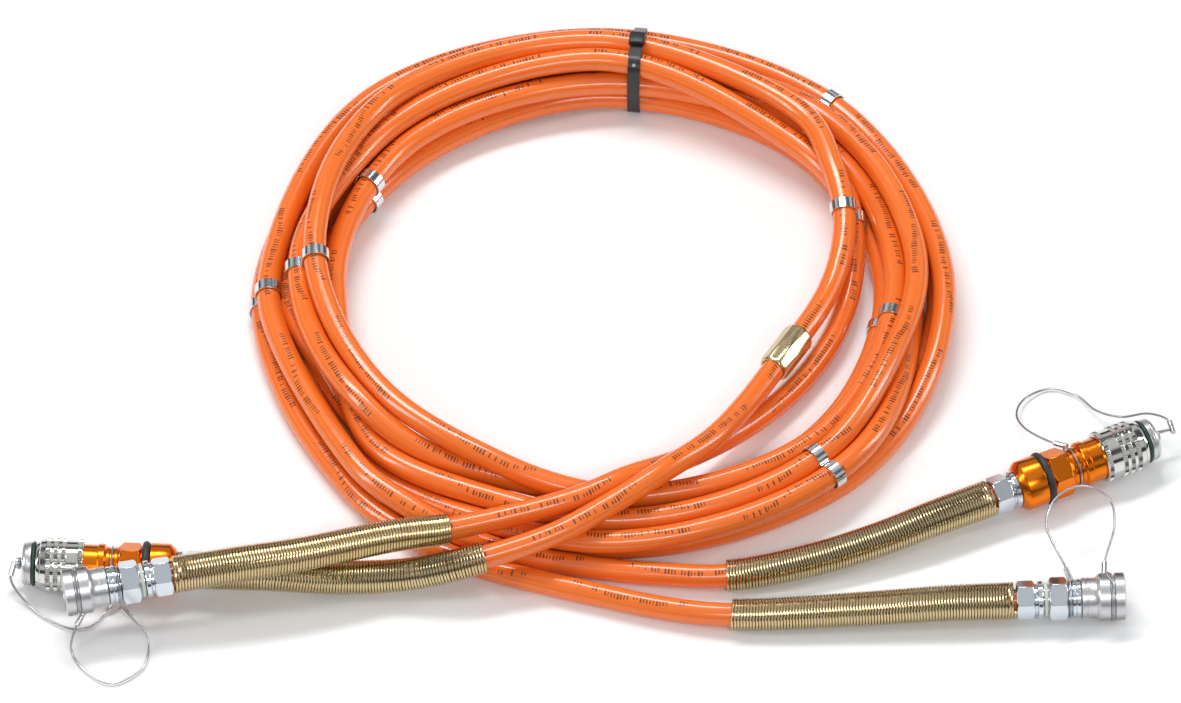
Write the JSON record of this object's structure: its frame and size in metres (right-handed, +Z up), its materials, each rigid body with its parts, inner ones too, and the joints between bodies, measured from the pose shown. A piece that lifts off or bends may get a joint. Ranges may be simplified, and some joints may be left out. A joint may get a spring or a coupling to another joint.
{
  "type": "twin hydraulic hose assembly",
  "caption": "Coiled twin hydraulic hose with metal clips, spring guards, quick couplers and capped nipples on wire tethers.",
  "frame": {"origin": "middle of the underside of the whole assembly's box, on the floor it lies on", "axes": "+X towards the coupler and nipple on the right, +Y from the loose ends towards the coil, +Z up"},
  "size_m": [0.6648, 0.4834, 0.0532],
  "materials": {
    "hose": "satin",
    "zinc": "satin",
    "yellow_zinc": "satin",
    "anodised": "satin",
    "nickel": "gloss",
    "aluminium": "matte",
    "rubber": "matte",
    "nylon": "matte",
    "steel": "satin",
    "steel_wire": "satin",
    "seal": "matte"
  },
  "bodies": {
    "hoses": {"cable_tie": "nylon", "clip_1": "zinc", "clip_2": "zinc", "clip_3": "zinc", "clip_4": "zinc", "clip_5": "zinc", "clip_6": "zinc", "clip_7": "zinc", "clip_8": "zinc", "hose_a_finish": "hose", "hose_a_start": "hose", "hose_b_finish": "hose", "hose_b_start": "hose", "hose_coil": "hose", "left_coupler_ball_ring": "steel", "left_coupler_body": "anodised", "left_coupler_bumper": "rubber", "left_coupler_ferrule": "zinc", "left_coupler_guard": "yellow_zinc", "left_coupler_poppet_spring": "steel", "left_coupler_seal": "rubber", "left_coupler_sleeve_spring": "steel", "left_coupler_tether": "steel_wire", "left_nipple_ferrule": "zinc", "left_nipple_guard": "yellow_zinc", "left_nipple_nipple": "zinc", "left_nipple_poppet_spring": "steel", "left_nipple_seal_ring": "seal", "left_nipple_tether": "steel_wire", "marker_sleeve": "yellow_zinc", "right_coupler_ball_ring": "steel", "right_coupler_body": "anodised", "right_coupler_bumper": "rubber", "right_coupler_ferrule": "zinc", "right_coupler_guard": "yellow_zinc", "right_coupler_poppet_spring": "steel", "right_coupler_seal": "rubber", "right_coupler_sleeve_spring": "steel", "right_coupler_tether": "steel_wire", "right_nipple_ferrule": "zinc", "right_nipple_guard": "yellow_zinc", "right_nipple_nipple": "zinc", "right_nipple_poppet_spring": "steel", "right_nipple_seal_ring": "seal", "right_nipple_tether": "steel_wire"},
    "left_coupler_poppet": {"left_coupler_poppet": "steel"},
    "left_coupler_sleeve": {"left_coupler_sleeve": "nickel"},
    "left_coupler_plug": {"left_coupler_plug": "aluminium", "left_coupler_plug_ring": "rubber"},
    "left_nipple_poppet": {"left_nipple_poppet": "steel"},
    "left_nipple_cap": {"left_nipple_cap": "aluminium"},
    "right_coupler_poppet": {"right_coupler_poppet": "steel"},
    "right_coupler_sleeve": {"right_coupler_sleeve": "nickel"},
    "right_coupler_plug": {"right_coupler_plug": "aluminium", "right_coupler_plug_ring": "rubber"},
    "right_nipple_poppet": {"right_nipple_poppet": "steel"},
    "right_nipple_cap": {"right_nipple_cap": "aluminium"}
  },
  "joints": [
    {"name": "left_coupler_poppet_slide", "type": "slide", "parent": "hoses", "child": "left_coupler_poppet", "axis": [-0.9986, 0.0523, 0], "range_m": [-0.0025, 0], "stiffness_N_per_m": 400, "springref_m": 0.002, "deforming": ["left_coupler_poppet_spring"]},
    {"name": "left_coupler_sleeve_slide", "type": "slide", "parent": "hoses", "child": "left_coupler_sleeve", "axis": [-0.9986, 0.0523, 0], "range_m": [-0.005, 0], "stiffness_N_per_m": 1200, "springref_m": 0.002, "deforming": ["left_coupler_sleeve_spring"]},
    {"name": "left_coupler_plug_pull", "type": "slide", "parent": "hoses", "child": "left_coupler_plug", "axis": [-0.9986, 0.0523, 0], "range_m": [0, 0.02], "deforming": ["left_coupler_tether"]},
    {"name": "left_nipple_poppet_slide", "type": "slide", "parent": "hoses", "child": "left_nipple_poppet", "axis": [-0.9844, -0.1647, -0.061], "range_m": [-0.0025, 0], "stiffness_N_per_m": 400, "springref_m": 0.002, "deforming": ["left_nipple_poppet_spring"]},
    {"name": "left_nipple_cap_pull", "type": "slide", "parent": "hoses", "child": "left_nipple_cap", "axis": [-0.9844, -0.1647, -0.061], "range_m": [0, 0.026], "deforming": ["left_nipple_tether"]},
    {"name": "right_coupler_poppet_slide", "type": "slide", "parent": "hoses", "child": "right_coupler_poppet", "axis": [0.8988, 0.4384, 0], "range_m": [-0.0025, 0], "stiffness_N_per_m": 400, "springref_m": 0.002, "deforming": ["right_coupler_poppet_spring"]},
    {"name": "right_coupler_sleeve_slide", "type": "slide", "parent": "hoses", "child": "right_coupler_sleeve", "axis": [0.8988, 0.4384, 0], "range_m": [-0.005, 0], "stiffness_N_per_m": 1200, "springref_m": 0.002, "deforming": ["right_coupler_sleeve_spring"]},
    {"name": "right_coupler_plug_pull", "type": "slide", "parent": "hoses", "child": "right_coupler_plug", "axis": [0.8988, 0.4384, 0], "range_m": [0, 0.02], "deforming": ["right_coupler_tether"]},
    {"name": "right_nipple_poppet_slide", "type": "slide", "parent": "hoses", "child": "right_nipple_poppet", "axis": [0.9986, 0.0523, 0], "range_m": [-0.0025, 0], "stiffness_N_per_m": 400, "springref_m": 0.002, "deforming": ["right_nipple_poppet_spring"]},
    {"name": "right_nipple_cap_pull", "type": "slide", "parent": "hoses", "child": "right_nipple_cap", "axis": [0.9986, 0.0523, 0], "range_m": [0, 0.026], "deforming": ["right_nipple_tether"]}
  ]
}
